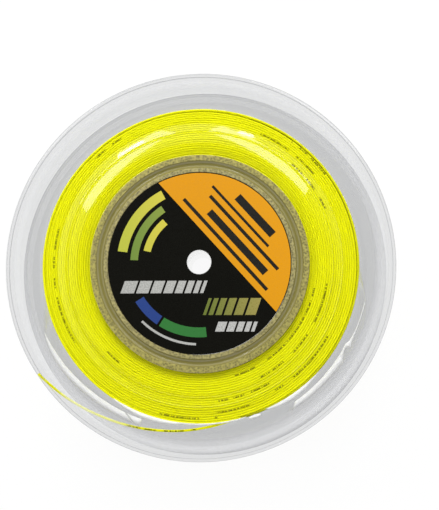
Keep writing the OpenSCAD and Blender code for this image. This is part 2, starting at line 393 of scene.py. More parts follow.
def windingTree():
    # A string wound out across a face, back across the winding, then round its outside
    tree = bpy.data.node_groups.new("windString", "GeometryNodeTree")
    tree.is_modifier = True
    sockets = [
        ("Points per Turn", "NodeSocketInt", 150), ("Sides", "NodeSocketInt", 8),
        ("String Radius", "NodeSocketFloat", 0.0006), ("Face Turns", "NodeSocketFloat", 18.0),
        ("Cross Turns", "NodeSocketFloat", 1.0), ("Outer Turns", "NodeSocketFloat", 20.0),
        ("First Radius", "NodeSocketFloat", 0.057), ("Under Radius", "NodeSocketFloat", 0.079),
        ("Outer Radius", "NodeSocketFloat", 0.081), ("Face Height", "NodeSocketFloat", 0.03),
        ("Far Height", "NodeSocketFloat", 0.005), ("End Angle", "NodeSocketFloat", 0.0),
        ("Wander", "NodeSocketFloat", 0.0005), ("Sink", "NodeSocketFloat", 0.0005),
        ("Hub Dip", "NodeSocketFloat", 0.001), ("Seed", "NodeSocketFloat", 1.0),
        ("Material", "NodeSocketMaterial", None),
    ]
    for name, kind, value in sockets:
        made = tree.interface.new_socket(name, in_out="INPUT", socket_type=kind)
        if value is not None:
            made.default_value = value
    tree.interface.new_socket("Geometry", in_out="OUTPUT", socket_type="NodeSocketGeometry")
    given = addNode(tree, "NodeGroupInput").outputs

    crossed = maths(tree, "ADD", given["Face Turns"], given["Cross Turns"])
    total = maths(tree, "ADD", crossed, given["Outer Turns"])
    count = maths(tree, "ADD", maths(tree, "MULTIPLY", total, given["Points per Turn"]), 1.0)
    index = addNode(tree, "GeometryNodeInputIndex").outputs[0]
    turn = maths(tree, "DIVIDE", index, given["Points per Turn"])
    left = maths(tree, "SUBTRACT", total, turn)
    angle = maths(tree, "MULTIPLY_ADD", left, 2 * math.pi, given["End Angle"])

    onFace = mapRange(tree, turn, 0.0, given["Face Turns"])
    late = maths(tree, "MULTIPLY_ADD", given["Cross Turns"], drift["crossFrom"], given["Face Turns"])
    crossing = mapRange(tree, turn, late, crossed, drift["crossStart"], 1.0, kind="SMOOTHSTEP")
    eased = maths(tree, "ADD", given["Face Turns"], drift["crossEase"])
    crossing = maths(tree, "MULTIPLY", crossing, mapRange(tree, turn, given["Face Turns"], eased))
    stepped = maths(tree, "ADD", crossed, drift["stepTurns"])
    stepOut = mapRange(tree, turn, crossed, stepped, kind="SMOOTHSTEP")
    roundOutside = mapRange(tree, turn, crossed, maths(
        tree, "MAXIMUM", maths(tree, "SUBTRACT", total, 1.0), maths(tree, "ADD", crossed, 1.0)))
    faceWidth = maths(tree, "SUBTRACT", given["Under Radius"], given["First Radius"])
    outStep = maths(tree, "SUBTRACT", given["Outer Radius"], given["Under Radius"])
    radius = maths(tree, "MULTIPLY_ADD", faceWidth, onFace, given["First Radius"])
    radius = maths(tree, "MULTIPLY_ADD", outStep, stepOut, radius)
    drop = maths(tree, "SUBTRACT", given["Far Height"], given["Face Height"])
    share = maths(tree, "SUBTRACT", crossing, roundOutside)
    height = maths(tree, "MULTIPLY_ADD", drop, share, given["Face Height"])

    # Random wander: neighbours drift together, and each turn also has its own small drift
    across = maths(tree, "COSINE", angle)
    up = maths(tree, "SINE", angle)
    together, alone = [addNode(tree, "ShaderNodeCombineXYZ", {
        0: maths(tree, "MULTIPLY", across, around), 1: maths(tree, "MULTIPLY", up, around),
        2: maths(tree, "MULTIPLY", turn, perTurn),
    }) for around, perTurn in (drift["together"], drift["alone"])]
    drifts = []
    for vector, shift in ((together, 0.0), (alone, 10.0), (alone, 20.0)):
        noise = addNode(tree, "ShaderNodeTexNoise", {
            "Vector": vector.outputs[0], "Scale": 1.0, "Detail": 1.0,
            "W": maths(tree, "ADD", given["Seed"], shift),
        }, noise_dimensions="4D")
        drifts.append(maths(tree, "SUBTRACT", noise.outputs["Fac"], 0.5))
    starting = mapRange(tree, turn, 0.0, drift["firstTurns"])
    ending = mapRange(tree, turn, maths(tree, "SUBTRACT", total, drift["lastTurns"]), total, 1.0, 0.0)
    pastFace = maths(tree, "ADD", stepOut, onFace)
    calm = mapRange(tree, pastFace, drift["calmFrom"], 1.0, 1.0, drift["calmShare"])
    ease = maths(tree, "MULTIPLY", maths(tree, "MULTIPLY", starting, ending), calm)
    strayed = maths(tree, "ADD", maths(tree, "MULTIPLY", drifts[0], drift["togetherShare"]), drifts[1])
    strayed = maths(tree, "MULTIPLY", maths(tree, "MULTIPLY", strayed, given["Wander"]), ease)
    radius = maths(tree, "ADD", radius, maths(tree, "MULTIPLY", strayed, drift["outwards"]))
    sunk = maths(tree, "MULTIPLY", maths(tree, "ABSOLUTE", drifts[2]), given["Sink"])
    sunk = maths(tree, "MULTIPLY", maths(tree, "MULTIPLY", sunk, drift["downwards"]), ease)
    nearHub = mapRange(tree, onFace, 0.0, drift["hubShare"], 1.0, 0.0, kind="SMOOTHSTEP")
    sunk = maths(tree, "MULTIPLY_ADD", nearHub, given["Hub Dip"], sunk)
    inward = maths(tree, "SIGN", drop)
    height = maths(tree, "MULTIPLY_ADD", sunk, inward, height)

    place = addNode(tree, "ShaderNodeCombineXYZ", {
        0: maths(tree, "MULTIPLY", radius, across), 1: maths(tree, "MULTIPLY", radius, up), 2: height,
    })
    line = addNode(tree, "GeometryNodeMeshLine", {"Count": count, "Offset": (0, 0, 0.001)}, mode="OFFSET")
    moved = addNode(tree, "GeometryNodeSetPosition", {
        "Geometry": line.outputs[0], "Position": place.outputs[0],
    })
    curve = addNode(tree, "GeometryNodeMeshToCurve", {"Mesh": moved.outputs[0]})
    upright = addNode(tree, "GeometryNodeSetCurveNormal", {"Curve": curve.outputs[0]}, mode="Z_UP")
    run = addNode(tree, "GeometryNodeSplineParameter").outputs["Length"]
    kept = addNode(tree, "GeometryNodeStoreNamedAttribute", {
        "Geometry": upright.outputs[0], "Name": "stringRun", "Value": run,
    }, data_type="FLOAT", domain="POINT")
    circle = addNode(tree, "GeometryNodeCurvePrimitiveCircle", {
        "Resolution": given["Sides"], "Radius": given["String Radius"],
    }, mode="RADIUS")
    part = addNode(tree, "GeometryNodeSplineParameter").outputs["Factor"]
    sides = addNode(tree, "GeometryNodeStoreNamedAttribute", {
        "Geometry": circle.outputs[0], "Name": "stringSide", "Value": part,
    }, data_type="FLOAT", domain="POINT")
    swept = addNode(tree, "GeometryNodeCurveToMesh", {
        "Curve": kept.outputs[0], "Profile Curve": sides.outputs[0], "Fill Caps": True,
    })
    smooth = addNode(tree, "GeometryNodeSetShadeSmooth", {"Geometry": swept.outputs[0]})
    real = addNode(tree, "GeometryNodeRealizeInstances", {"Geometry": smooth.outputs[0]})
    painted = addNode(tree, "GeometryNodeSetMaterial", {
        "Geometry": real.outputs[0], "Material": given["Material"],
    })
    addNode(tree, "NodeGroupOutput", {"Geometry": painted.outputs[0]})
    return tree


def grownMesh(name, tree, values):
    # Evaluates the tree with these inputs once and returns its plain mesh
    maker = addObject(name + "Maker", bpy.data.meshes.new(name + "Maker"))
    modifier = maker.modifiers.new("nodes", "NODES")
    modifier.node_group = tree
    for item in tree.interface.items_tree:
        if item.item_type == "SOCKET" and item.in_out == "INPUT":
            modifier[item.identifier] = values[item.name]
    bpy.context.view_layer.update()
    mesh = bpy.data.meshes.new_from_object(maker.evaluated_get(bpy.context.evaluated_depsgraph_get()))
    mesh.name = name
    bpy.data.objects.remove(maker)
    return mesh


def addWinding():
    tree = windingTree()
    common = {
        "Points per Turn": winding["pointsPerTurn"], "Sides": winding["sides"],
        "String Radius": reel["string"] / 2, "First Radius": winding["firstRadius"],
        "Under Radius": winding["underRadius"], "Outer Radius": winding["outerRadius"],
        "End Angle": winding["endAngle"], "Wander": winding["wander"], "Sink": winding["sink"],
        "Hub Dip": winding["hubDip"], "Material": yellowString,
    }
    front = grownMesh("stringWinding", tree, common | {
        "Face Turns": float(winding["faceTurns"]), "Cross Turns": 1.0,
        "Outer Turns": float(winding["outerTurns"]), "Face Height": reel["frontTurn"],
        "Far Height": reel["rearTurn"], "Seed": winding["seed"],
    })
    rear = grownMesh("rearTurns", tree, common | {
        "Face Turns": float(winding["rearTurns"]), "Cross Turns": 0.0, "Outer Turns": 0.0,
        "Under Radius": winding["rearLastRadius"], "Face Height": reel["rearTurn"],
        "Far Height": reel["frontTurn"], "Seed": winding["rearSeed"],
    })
    return addObject("stringWinding", front), addObject("rearTurns", rear)


stringWinding, rearTurns = addWinding()
for piece in (stringWinding, rearTurns):
    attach(piece, "root")
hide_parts("string_winding")
print("winding made:", len(stringWinding.data.polygons), "faces")

under = {
    "inside": 56.45 * mm,
    "outside": 78.6 * mm,
    "frontHeight": 29.6 * mm,
    "rearHeight": 5.75 * mm,
    "pitch": 1.25 * mm,
    "pointsPerTurn": 5,
    "steps": 144,
}


def scallops(start, end, bulge):
    # Half round bumps, one string wide, from start to end of a straight side
    length = (end - start).length
    count = round(length / under["pitch"])
    points = []
    for i in range(count):
        for k in range(under["pointsPerTurn"]):
            t = math.pi * k / under["pointsPerTurn"]
            along = (i + (1 - math.cos(t)) / 2) / count
            points.append(start.lerp(end, along) + bulge * math.sin(t) * under["pitch"] / 2)
    return points


def addUnderTurns():
    a, b = under["inside"], under["outside"]
    low, high = under["rearHeight"], under["frontHeight"]
    outline = []
    outline += scallops(Vector((a, low)), Vector((b, low)), Vector((0, -1)))
    outline += scallops(Vector((b, low)), Vector((b, high)), Vector((1, 0)))
    outline += scallops(Vector((b, high)), Vector((a, high)), Vector((0, 1)))
    outline += [Vector((a, high))]
    made = addObject("underTurns", latheMesh("underTurns", [tuple(p) for p in outline], under["steps"], 60))
    made.data.materials.append(yellowString)
    return made


underTurns = addUnderTurns()
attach(underTurns, "root")
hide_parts("string_core")

knot = {
    "width": 1.7, "height": 1.3, "place": 16, "openAngle": 30, "stub": 3, "steps": 72,
    "lead": [
        (-2.2, -4.9, -1), (-2, -6.8, -0.6), (-1.3, -8.8, -0.3), (-0.4, -10.8, -0.1), (0, -12.6, 0),
        (0, -16.15, 0),
    ],
    "angle": math.radians(30),
    "sides": 12,
}


def addInnerEnd():
    loop = []
    for i in range(knot["steps"] + 1):
        a = math.radians(180 + knot["openAngle"] + (360 - 2 * knot["openAngle"]) * i / knot["steps"])
        loop.append(Vector((
            knot["width"] * (math.sin(a) + 2 * math.sin(2 * a)),
            knot["width"] * (math.cos(a) - 2 * math.cos(2 * a)),
            -knot["height"] * math.sin(3 * a),
        )))
    stub = loop[0] - knot["stub"] * (loop[1] - loop[0]).normalized()
    lead = smoothPath([loop[-1]] + [Vector(p) for p in knot["lead"]], 2)
    path = []
    for p in [stub] + loop + lead[1:]:
        # Its own frame is turned a quarter, moved out to the drum and turned to the seam hole
        x, y = -p.y + reel["drum"] / mm - knot["place"], p.x
        c, s = math.cos(knot["angle"]), math.sin(knot["angle"])
        path.append(Vector((x * c - y * s, x * s + y * c, p.z + reel["middle"] / mm)) * mm)
    made = addObject("innerStringEnd", tubeMesh("innerStringEnd", path, reel["string"] / 2, knot["sides"]))
    made.data.materials.append(yellowString)
    return made


innerStringEnd = addInnerEnd()
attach(innerStringEnd, "root")
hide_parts("string_inner_end")
print("string made")

# Painted shade: the greys the camera sees through the flanges stand in for shade and dark reflections. They
# are darker beyond the turns, on the flare, on the lip and on the rear moulding, and darkest at grazing
# edges.
plastic = {
    "faceShadeTint": (0.978, 0.98, 0.976, 1),
    "webShadeTint": (0.938, 0.94, 0.942, 1),
    "flareShadeTint": (0.842, 0.845, 0.849, 1),
    "rearWebShadeTint": (0.808, 0.81, 0.814, 1),
    "rearFlareShadeTint": (0.822, 0.824, 0.828, 1),
    "lipShadeTint": (0.900, 0.902, 0.906, 1),
    "lightTint": (0.97, 0.97, 0.97, 1),
    "edgeShadeTint": (0.66, 0.67, 0.68, 1),
    "flareMilk": (0.85, 0.855, 0.865, 1),
    "milkShare": 0.22,
    "milkLit": 0.2,
    # Painted light and shade on the hub rings: their beige stands in for yellow light from the string in the
    # clear plastic and for the dark hollow behind it. The frosted grain is the rings' own.
    "hubHazeGlow": (0.25, 0.221, 0.058, 1),
    "innerHazeGlow": (0.245, 0.215, 0.082, 1),
    "grooveHazeGlow": (0.235, 0.206, 0.055, 1),
    "hubRing": (47.3 * mm, 56.5 * mm, 0.15 * mm),
    "groove": (49.5 * mm, 53.5 * mm, 0.12 * mm),
    "soft": 0.5 * mm,
    "speck": (0.3, 1.8),
    "hazeShare": 0.85,
    "bore": (8 * mm, 9 * mm),
    "beyondTurns": (81.5 * mm, 84 * mm),
    "flareStart": (83 * mm, 85 * mm),
    "flare": (89 * mm, 90.2 * mm),
    "lip": (96 * mm, 96.4 * mm),
    "milkZone": (89.6 * mm, 96 * mm, 0.8 * mm),
    "milkHeight": (32.5 * mm, 33 * mm),
    "edgePower": 4.0,
    "grainScale": 900.0,
    "grainDepth": 0.12 * mm,
    "grainStrength": 0.8,
    "waveScale": 35.0,
    "waveDepth": 0.5 * mm,
    "waveStrength": 0.12,
    "polish": 0.04,
    "grainRoughness": 0.42,
    "grooveRoughness": 0.07,
    "dullRoughness": 0.4,
    "rearGloss": 0.2,
    "rings": [(63.2, 68.3, 0.117, 0.157), (69.6, 73.0, 0.172, 0.205)],
    "ringFall": 0.5,
}


def schlick(tree, normal=None, base=0.035):
    facing = addNode(tree, "ShaderNodeLayerWeight", {"Blend": 0.5})
    if normal is not None:
        tree.links.new(normal, facing.inputs["Normal"])
    power = maths(tree, "POWER", facing.outputs["Facing"], 5.0)
    return maths(tree, "MULTIPLY_ADD", power, 0.94, base)


def ringHeight(tree, radius):
    # Shallow rings in the flange's face: each falls outwards, ever faster, and comes back in a short step
    total = None
    for start, end, slope, lastSlope in plastic["rings"]:
        width = end - start
        depth = width * (slope + lastSlope) / 2
        along = mapRange(tree, radius, start * mm, end * mm, 0.0, width * mm)
        growth = maths(tree, "MULTIPLY_ADD", along, -(lastSlope - slope) / (2 * width * mm), -slope)
        fall = maths(tree, "MULTIPLY", along, growth)
        back = mapRange(tree, radius, end * mm, (end + plastic["ringFall"]) * mm, 0.0, depth * mm)
        both = maths(tree, "ADD", fall, back)
        total = both if total is None else maths(tree, "ADD", total, both)
    return total


def clearPlasticMaterial():
    material, tree = newMaterial("clearPlastic")
    point = objectPoint(tree)
    radius = radiusOf(tree, point)
    ringed = zone(tree, radius, *plastic["hubRing"])
    groove = zone(tree, radius, *plastic["groove"])
    grained = maths(tree, "MULTIPLY", ringed, maths(tree, "SUBTRACT", 1.0, groove))
    # Cast grain on the hub's two rings
    cells = addNode(tree, "ShaderNodeTexVoronoi", {"Vector": point, "Scale": plastic["grainScale"]})
    grainHeight = maths(tree, "MULTIPLY", cells.outputs["Distance"], grained)
    bump = addNode(tree, "ShaderNodeBump", {
        "Strength": plastic["grainStrength"], "Distance": plastic["grainDepth"], "Height": grainHeight,
    })
    rings = addNode(tree, "ShaderNodeBump", {
        "Strength": 1.0, "Distance": 1.0, "Height": ringHeight(tree, radius), "Normal": bump.outputs[0],
    })
    ripple = addNode(tree, "ShaderNodeBump", {
        "Strength": plastic["waveStrength"], "Distance": plastic["waveDepth"],
        "Height": noiseOf(tree, point, plastic["waveScale"]), "Normal": rings.outputs[0],
    })
    normal = ripple.outputs[0]
    outer = mapRange(tree, radius, *plastic["beyondTurns"])
    flared = zone(tree, radius, *plastic["milkZone"])
    height = addNode(tree, "ShaderNodeSeparateXYZ", {0: point}).outputs[2]
    inFront = mapRange(tree, height, reel["middle"] - plastic["soft"], reel["middle"] + plastic["soft"])
    onFlare = mapRange(tree, radius, *plastic["flare"])
    onFlareStart = mapRange(tree, radius, *plastic["flareStart"])
    onLip = mapRange(tree, radius, *plastic["lip"])
    # Painted shade, set by radius and by front or rear moulding
    flareShadeTint = mixColour(tree, onLip, plastic["flareShadeTint"], plastic["lipShadeTint"])
    frontShadeTint = mixColour(tree, onFlare, plastic["webShadeTint"], flareShadeTint)
    rearShadeTint = mixColour(tree, onFlare, plastic["rearWebShadeTint"], plastic["rearFlareShadeTint"])
    outerShadeTint = mixColour(tree, inFront, rearShadeTint, frontShadeTint)
    tint = mixColour(tree, outer, plastic["faceShadeTint"], outerShadeTint)
    # Painted shade: surfaces seen at a grazing angle are darkened, except in the bore
    facing = addNode(tree, "ShaderNodeLayerWeight", {"Blend": 0.5}).outputs["Facing"]
    inBore = mapRange(tree, radius, *plastic["bore"], 1.0, 0.0)
    edge = maths(tree, "POWER", facing, plastic["edgePower"])
    edge = maths(tree, "MULTIPLY", edge, maths(tree, "SUBTRACT", 1.0, inBore))
    tint = mixColour(tree, edge, tint, plastic["edgeShadeTint"])
    # Light passes through to the string almost whole, so the greys above are painted shade that only the
    # camera sees
    rays = addNode(tree, "ShaderNodeLightPath").outputs
    lighting = maths(tree, "MAXIMUM", rays["Is Shadow Ray"], rays["Is Diffuse Ray"])
    tint = mixColour(tree, lighting, tint, plastic["lightTint"])
    through = addNode(tree, "ShaderNodeBsdfTransparent", {"Color": tint})
    # The rear flare is less polished
    dull = maths(tree, "MULTIPLY", onFlareStart, maths(tree, "SUBTRACT", 1.0, inFront))
    rough = maths(tree, "MAXIMUM", grained, dull)
    gloss = addNode(tree, "ShaderNodeBsdfGlossy", {
        "Color": (1, 1, 1, 1), "Normal": normal,
        "Roughness": mapRange(tree, rough, 0.0, 1.0, plastic["polish"], plastic["dullRoughness"]),
    })
    halfGloss = mapRange(tree, inFront, 0.0, 1.0, plastic["rearGloss"], 1.0)
    clear = addNode(tree, "ShaderNodeMixShader", {
        0: maths(tree, "MULTIPLY", schlick(tree, normal), halfGloss),
        1: through.outputs[0], 2: gloss.outputs[0],
    })
    # The front flare is a little milky on its outer side, and less so for the light that passes it
    onTop = mapRange(tree, height, *plastic["milkHeight"])
    milk = addNode(tree, "ShaderNodeBsdfDiffuse", {"Color": plastic["flareMilk"]})
    lit = (plastic["milkLit"] - 1) * plastic["milkShare"]
    milkShare = maths(tree, "MULTIPLY_ADD", lighting, lit, plastic["milkShare"])
    clear = addNode(tree, "ShaderNodeMixShader", {
        0: maths(tree, "MULTIPLY", maths(tree, "MULTIPLY", flared, onTop), milkShare),
        1: clear.outputs[0], 2: milk.outputs[0],
    })
    # Painted light and shade: the hub rings' beige stands in for yellow string light and the dark hollow
    # behind the clear plastic
    beyond = mapRange(
        tree, radius, reel["grooveMiddle"] - plastic["soft"], reel["grooveMiddle"] + plastic["soft"])
    ringGlowColour = mixColour(tree, beyond, plastic["innerHazeGlow"], plastic["hubHazeGlow"])
    hazeGlowColour = mixColour(tree, groove, ringGlowColour, plastic["grooveHazeGlow"])
    speck = mapRange(tree, cells.outputs["Distance"], 0.0, 0.8, *plastic["speck"])
    shade = maths(tree, "MULTIPLY_ADD", maths(tree, "SUBTRACT", speck, 1.0), grained, 1.0)
    grey = addNode(tree, "ShaderNodeCombineColor", {0: shade, 1: shade, 2: shade}).outputs[0]
    hazeGlowColour = mixColour(tree, 1.0, hazeGlowColour, grey, blend="MULTIPLY")
    roughness = mapRange(tree, grained, 0.0, 1.0, plastic["grooveRoughness"], plastic["grainRoughness"])
    haze = addNode(tree, "ShaderNodeBsdfPrincipled", {
        "Base Color": hazeGlowColour, "Roughness": roughness, "Normal": normal, "Specular IOR Level": 1.0,
    })
    shader = addNode(tree, "ShaderNodeMixShader", {
        0: maths(tree, "MULTIPLY", ringed, plastic["hazeShare"]), 1: clear.outputs[0], 2: haze.outputs[0],
    })
    finishMaterial(tree, shader.outputs[0])
    return material


clearPlastic = clearPlasticMaterial()


def addMoulding(name, nodeName):
    made = addObject(name, mergedCopy(name, nodeName))
    made.data.materials.append(clearPlastic)
    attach(made, "root")
    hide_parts(nodeName)
    return made


frontMoulding = addMoulding("frontMoulding", "front_flange")
rearMoulding = addMoulding("rearMoulding", "rear_flange")
print("mouldings made")

strip = {
    "inside": 82.1, "bulge": 7.1, "thick": 0.2, "low": 5.0, "high": 30.5,
    "start": -60, "angle": 310, "bulgeAngle": 38, "riseAngle": 62, "endShare": 0.8,
    "slant": 3.0, "play": 0.05, "wallMilk": 0.02, "foldHeight": 31.0,
    "steps": 310, "rows": 6, "foldSteps": 8,
}
# Where its top edge is folded over: inner angle and radius, then outer angle and radius
stripFolds = [
    [(204.2, 87.27, 204.2, 87.37), (209.2, 86.87, 209.2, 88.47), (215.3, 86.36, 215.3, 89.2),
     (222.3, 85.85, 222.3, 89.0), (229.2, 85.29, 229.2, 88.54), (238.0, 84.9, 239.5, 88.25),
     (243.6, 84.7, 248.2, 88.0)],
    [(244.6, 84.65, 249.0, 87.95), (250.1, 84.4, 250.3, 87.86)],
    [(304.6, 85.35, 301.8, 88.2), (314.1, 85.3, 314.1, 88.25), (324.7, 85.17, 324.8, 88.63),
     (325.9, 85.2, 325.9, 87.4), (329.3, 85.0, 329.3, 86.0), (330.4, 84.9, 330.4, 88.0),
     (332.0, 85.9, 332.0, 87.2), (335.0, 86.3, 335.0, 87.0), (346.0, 86.5, 346.0, 86.75)],
    [(238.0, 81.5, 238.0, 81.9), (243.0, 81.5, 243.0, 82.9), (249.0, 81.5, 249.0, 84.0),
     (257.0, 81.5, 257.0, 83.8), (262.0, 81.5, 261.0, 83.2), (263.0, 81.5, 264.0, 82.3),
     (283.0, 81.5, 283.0, 82.2), (287.0, 81.5, 287.0, 81.8)],
    [(288.0, 82.2, 287.4, 83.4), (290.0, 81.8, 291.5, 84.0), (292.0, 82.4, 292.2, 83.8)],
    [(294.0, 81.4, 295.0, 81.8), (299.0, 81.5, 299.0, 83.4), (304.0, 81.6, 304.0, 84.1),
     (310.0, 81.7, 310.0, 83.7), (317.0, 82.0, 317.0, 82.2)],
]


def easeStep(t):
    return (1 - math.cos(math.pi * max(0.0, min(1.0, t)))) / 2


def stripShare(a):
    if a < strip["bulgeAngle"]:
        return strip["endShare"] + (1 - strip["endShare"]) * easeStep(a / strip["bulgeAngle"])
    return 1 - easeStep((a - strip["bulgeAngle"]) / (strip["riseAngle"] - strip["bulgeAngle"]))


def addStrip():
    points, faces, milk = [], [], []
    rows, steps = strip["rows"], strip["steps"]
    width = strip["high"] - strip["low"]
    for j in range(rows + 1):
        height = strip["low"] + width * j / rows
        cut = math.degrees(strip["slant"] * (1 - j / rows) / strip["inside"])
        for i in range(steps + 1):
            a = cut + (strip["angle"] - 2 * cut) * i / steps
            r = strip["inside"] + strip["play"] + strip["bulge"] * stripShare(min(a, strip["angle"] - a))
            points.append(polar(r * mm, math.radians(strip["start"] + a), height * mm))
            milk.append(strip["wallMilk"])
    for j in range(rows):
        for i in range(steps):
            a = j * (steps + 1) + i
            faces.append((a, a + 1, a + steps + 2, a + steps + 1))
    for fold in stripFolds:
        ribs = [fold[0]]
        for first, second in zip(fold, fold[1:]):
            for i in range(1, strip["foldSteps"] + 1):
                t = i / strip["foldSteps"]
                ribs.append([p + (q - p) * t for p, q in zip(first, second)])
        for i, (innerAngle, inner, outerAngle, outer) in enumerate(ribs):
            k = len(points)
            points.append(polar(inner * mm, math.radians(innerAngle), strip["foldHeight"] * mm))
            points.append(polar(outer * mm, math.radians(outerAngle), strip["foldHeight"] * mm))
            milk += [1.0, 1.0]
            if i:
                faces.append((k - 2, k - 1, k + 1, k))
    mesh = meshFrom("clearStrip", points, faces, 180)
    mesh.attributes.new("milk", "FLOAT", "POINT").data.foreach_set("value", milk)
    made = addObject("clearStrip", mesh)
    wall = made.modifiers.new("thickness", "SOLIDIFY")
    wall.thickness = strip["thick"] * mm
    wall.offset = 1
    return made


film = {
    "tint": (0.985, 0.985, 0.985, 1),
    "throughMilk": 0.1,
    "roughness": 0.05,
    "clearGloss": 0.25,
    "waveScale": 45.0,
    "waveDepth": 0.6 * mm,
    "waveStrength": 0.3,
}


def filmMaterial():
    material, tree = newMaterial("clearFilm")
    point = objectPoint(tree)
    bump = addNode(tree, "ShaderNodeBump", {
        "Strength": film["waveStrength"], "Distance": film["waveDepth"],
        "Height": noiseOf(tree, point, film["waveScale"]),
    })
    milk = addNode(tree, "ShaderNodeAttribute", attribute_name="milk").outputs["Fac"]
    through = addNode(tree, "ShaderNodeBsdfTransparent", {"Color": film["tint"]})
    front = addNode(tree, "ShaderNodeBsdfDiffuse", {"Color": (1, 1, 1, 1)})
    back = addNode(tree, "ShaderNodeBsdfTranslucent", {"Color": (1, 1, 1, 1)})
    cloudy = addNode(tree, "ShaderNodeMixShader", {
        0: film["throughMilk"], 1: front.outputs[0], 2: back.outputs[0],
    })
    body = addNode(tree, "ShaderNodeMixShader", {
        0: milk, 1: through.outputs[0], 2: cloudy.outputs[0],
    })
    gloss = addNode(tree, "ShaderNodeBsdfGlossy", {
        "Color": (1, 1, 1, 1), "Roughness": film["roughness"], "Normal": bump.outputs[0],
    })
    glossShare = mapRange(tree, milk, 0.0, 1.0, film["clearGloss"], 1.0)
    shader = addNode(tree, "ShaderNodeMixShader", {
        0: maths(tree, "MULTIPLY", schlick(tree, bump.outputs[0]), glossShare),
        1: body.outputs[0], 2: gloss.outputs[0],
    })
    finishMaterial(tree, shader.outputs[0])
    return material


clearStrip = addStrip()
clearStrip.data.materials.append(filmMaterial())
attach(clearStrip, "root")
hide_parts("retaining_strip")

label = {
    "top": 32.3 * mm,
    "inkThick": 0.03 * mm,
    "fieldRadius": 46.9,
    "fieldTurn": 42,
    "fieldFrom": 12.0,
    "arcSteps": 48,
    "barLean": 0.35,
    "ground": (0.0038, 0.0038, 0.0028, 1),
    "groundPale": (0.0060, 0.0058, 0.0042, 1),
    "roughness": (0.24, 0.30),
    "specular": 0.2,
    "screen": (0.95, 0.95, 0.95, 1),
    "screenScale": 1500.0,
}
# Stripes on the amber field: (near, far) edges away from the middle and (from, to) along the field
fieldStripes = [
    (15.2, 17.0, -34.0, 30.0), (19.6, 23.4, -27.0, 16.0), (26.4, 28.2, -30.0, 22.0),
    (31.0, 32.4, -18.0, 25.0), (35.4, 39.6, -15.0, 12.0),
]
# Arcs: ink slot, inner and outer radius, start and end angle
arcs = [
    (6, 37.6, 42.6, 118, 172), (7, 31.6, 35.6, 124, 178), (6, 25.6, 29.4, 130, 168),
    (4, 33.5, 38.5, 212, 236), (5, 33.5, 38.5, 238, 276), (2, 41.4, 42.6, 226, 268),
]
# Rows of slanted bars: ink slot, left, bottom, height, first width, change of width, gap, count
barRows = [
    (2, -40.5, -16.0, 6.4, 7.0, -0.75, 1.1, 8),
    (3, 2.0, -27.2, 8.6, 1.6, 0.75, 1.2, 6),
    (2, 8.2, -35.6, 5.0, 4.6, -0.7, 1.0, 5),
]


def slab(work, outline, low, high, slot):
    # Flat plate with this outline, counter-clockwise from above
    bottom = [work.verts.new((x * mm, y * mm, low)) for x, y in outline]
    top = [work.verts.new((x * mm, y * mm, high)) for x, y in outline]
    count = len(outline)
    made = [work.faces.new(top), work.faces.new(list(reversed(bottom)))]
    for k in range(count):
        n = (k + 1) % count
        made.append(work.faces.new((bottom[k], bottom[n], top[n], top[k])))
    for face in made:
        face.material_index = slot


def slantedBars(left, bottom, height, width, change, gap, count):
    outlines = []
    for _ in range(count):
        lean = height * label["barLean"]
        outlines.append([
            (left, bottom), (left + width, bottom),
            (left + width + lean, bottom + height), (left + lean, bottom + height),
        ])
        left += width + gap
        width += change
    return outlines


def turned(points, degrees):
    c, s = math.cos(math.radians(degrees)), math.sin(math.radians(degrees))
    return [(x * c - y * s, x * s + y * c) for x, y in points]


def fieldOutline():
    # The part of the label beyond a straight line, to the side that the field is turned to
    radius, near = label["fieldRadius"], label["fieldFrom"]
    half = math.degrees(math.acos(near / radius))
    steps = label["arcSteps"]
    angles = [math.radians(-half + 2 * half * i / steps) for i in range(steps + 1)]
    return turned([(radius * math.cos(a), radius * math.sin(a)) for a in angles], label["fieldTurn"])


def stripeOutline(near, far, start, end):
    # A stripe along the field's straight edge, cut off by the label's rim
    reach = math.sqrt((label["fieldRadius"] - 1.0) ** 2 - far ** 2)
    start, end = max(start, -reach), min(end, reach)
    return turned([(near, start), (far, start), (far, end), (near, end)], label["fieldTurn"])


def arcOutline(inner, outer, start, end):
    steps = label["arcSteps"]
    angles = [math.radians(start + (end - start) * i / steps) for i in range(steps + 1)]
    outline = [(outer * math.cos(a), outer * math.sin(a)) for a in angles]
    return outline + [(inner * math.cos(a), inner * math.sin(a)) for a in reversed(angles)]


def inkMaterial(name, colour, second=None, spread=(0.0, 1.0), gloss=0.32, metal=0.0):
    # Printed ink: one colour, or a blend of two along x, with a fine screen
    material, tree = newMaterial(name)
    point = objectPoint(tree)
    x = addNode(tree, "ShaderNodeSeparateXYZ", {0: point}).outputs[0]
    share = mapRange(tree, x, spread[0] * mm, spread[1] * mm)
    base = mixColour(tree, share, (*colour, 1), (*(second or colour), 1))
    screen = noiseOf(tree, point, label["screenScale"])
    darker = mixColour(tree, 1.0, base, label["screen"], blend="MULTIPLY")
    shader = addNode(tree, "ShaderNodeBsdfPrincipled", {
        "Base Color": mixColour(tree, mapRange(tree, screen, 0.35, 0.65), base, darker),
        "Roughness": mapRange(tree, screen, 0.3, 0.7, gloss - 0.05, gloss + 0.08), "Metallic": metal,
    })
    finishMaterial(tree, shader.outputs[0])
    return material


